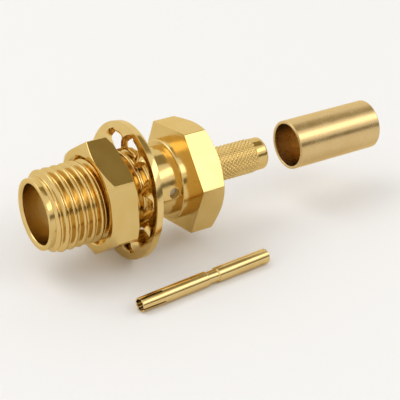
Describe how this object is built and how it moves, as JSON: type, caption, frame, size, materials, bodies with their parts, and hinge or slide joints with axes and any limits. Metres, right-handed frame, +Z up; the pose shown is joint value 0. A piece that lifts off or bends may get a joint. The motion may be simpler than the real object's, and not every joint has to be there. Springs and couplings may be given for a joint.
{
  "type": "sma bulkhead crimp jack",
  "caption": "Gold-plated coaxial bulkhead jack with hex flange, panel nut, toothed lock washer and knurled crimp stub, with its loose crimp sleeve and slotted contact.",
  "frame": {"origin": "on the connector's axis, in the plane of the flange face that seats against the panel", "axes": "+X along the axis towards the cable end, the mating mouth faces -X; +Z up; the loose sleeve lies on the axis and the loose contact lies beside the body at -Y"},
  "size_m": [0.0308, 0.0141, 0.0106],
  "materials": {
    "shell_gold": "bright gold plating on turned brass",
    "nut_gold": "bright gold plating on milled brass",
    "washer_gold": "gold plating on stamped spring bronze",
    "sleeve_gold": "bright gold plating on annealed tube",
    "contact_gold": "bright gold plating on turned beryllium copper",
    "ptfe": "waxy white PTFE"
  },
  "bodies": {
    "shell": {"body_shell": "shell_gold", "insulator": "ptfe", "center_contact": "contact_gold"},
    "washer": {"lock_washer": "washer_gold"},
    "nut": {"hex_nut": "nut_gold"},
    "sleeve": {"crimp_sleeve": "sleeve_gold"}
  },
  "joints": [
    {"name": "washer_slide", "type": "slide", "parent": "shell", "child": "washer", "axis": [1, 0, 0], "range_m": [-0.00847, 0.00317]},
    {"name": "nut_turn", "type": "hinge", "parent": "washer", "child": "nut", "pos_m": [-0.00637, 0, 0], "axis": [1, 0, 0], "range_deg": [-4321, 1621]},
    {"name": "sleeve_slide", "type": "slide", "parent": "shell", "child": "sleeve", "axis": [-1, 0, 0], "range_m": [0, 0.00865]}
  ],
  "couplings": [
    {"joint": "nut_turn", "follows": "washer_slide", "rad_per_m": 8905.3}
  ]
}
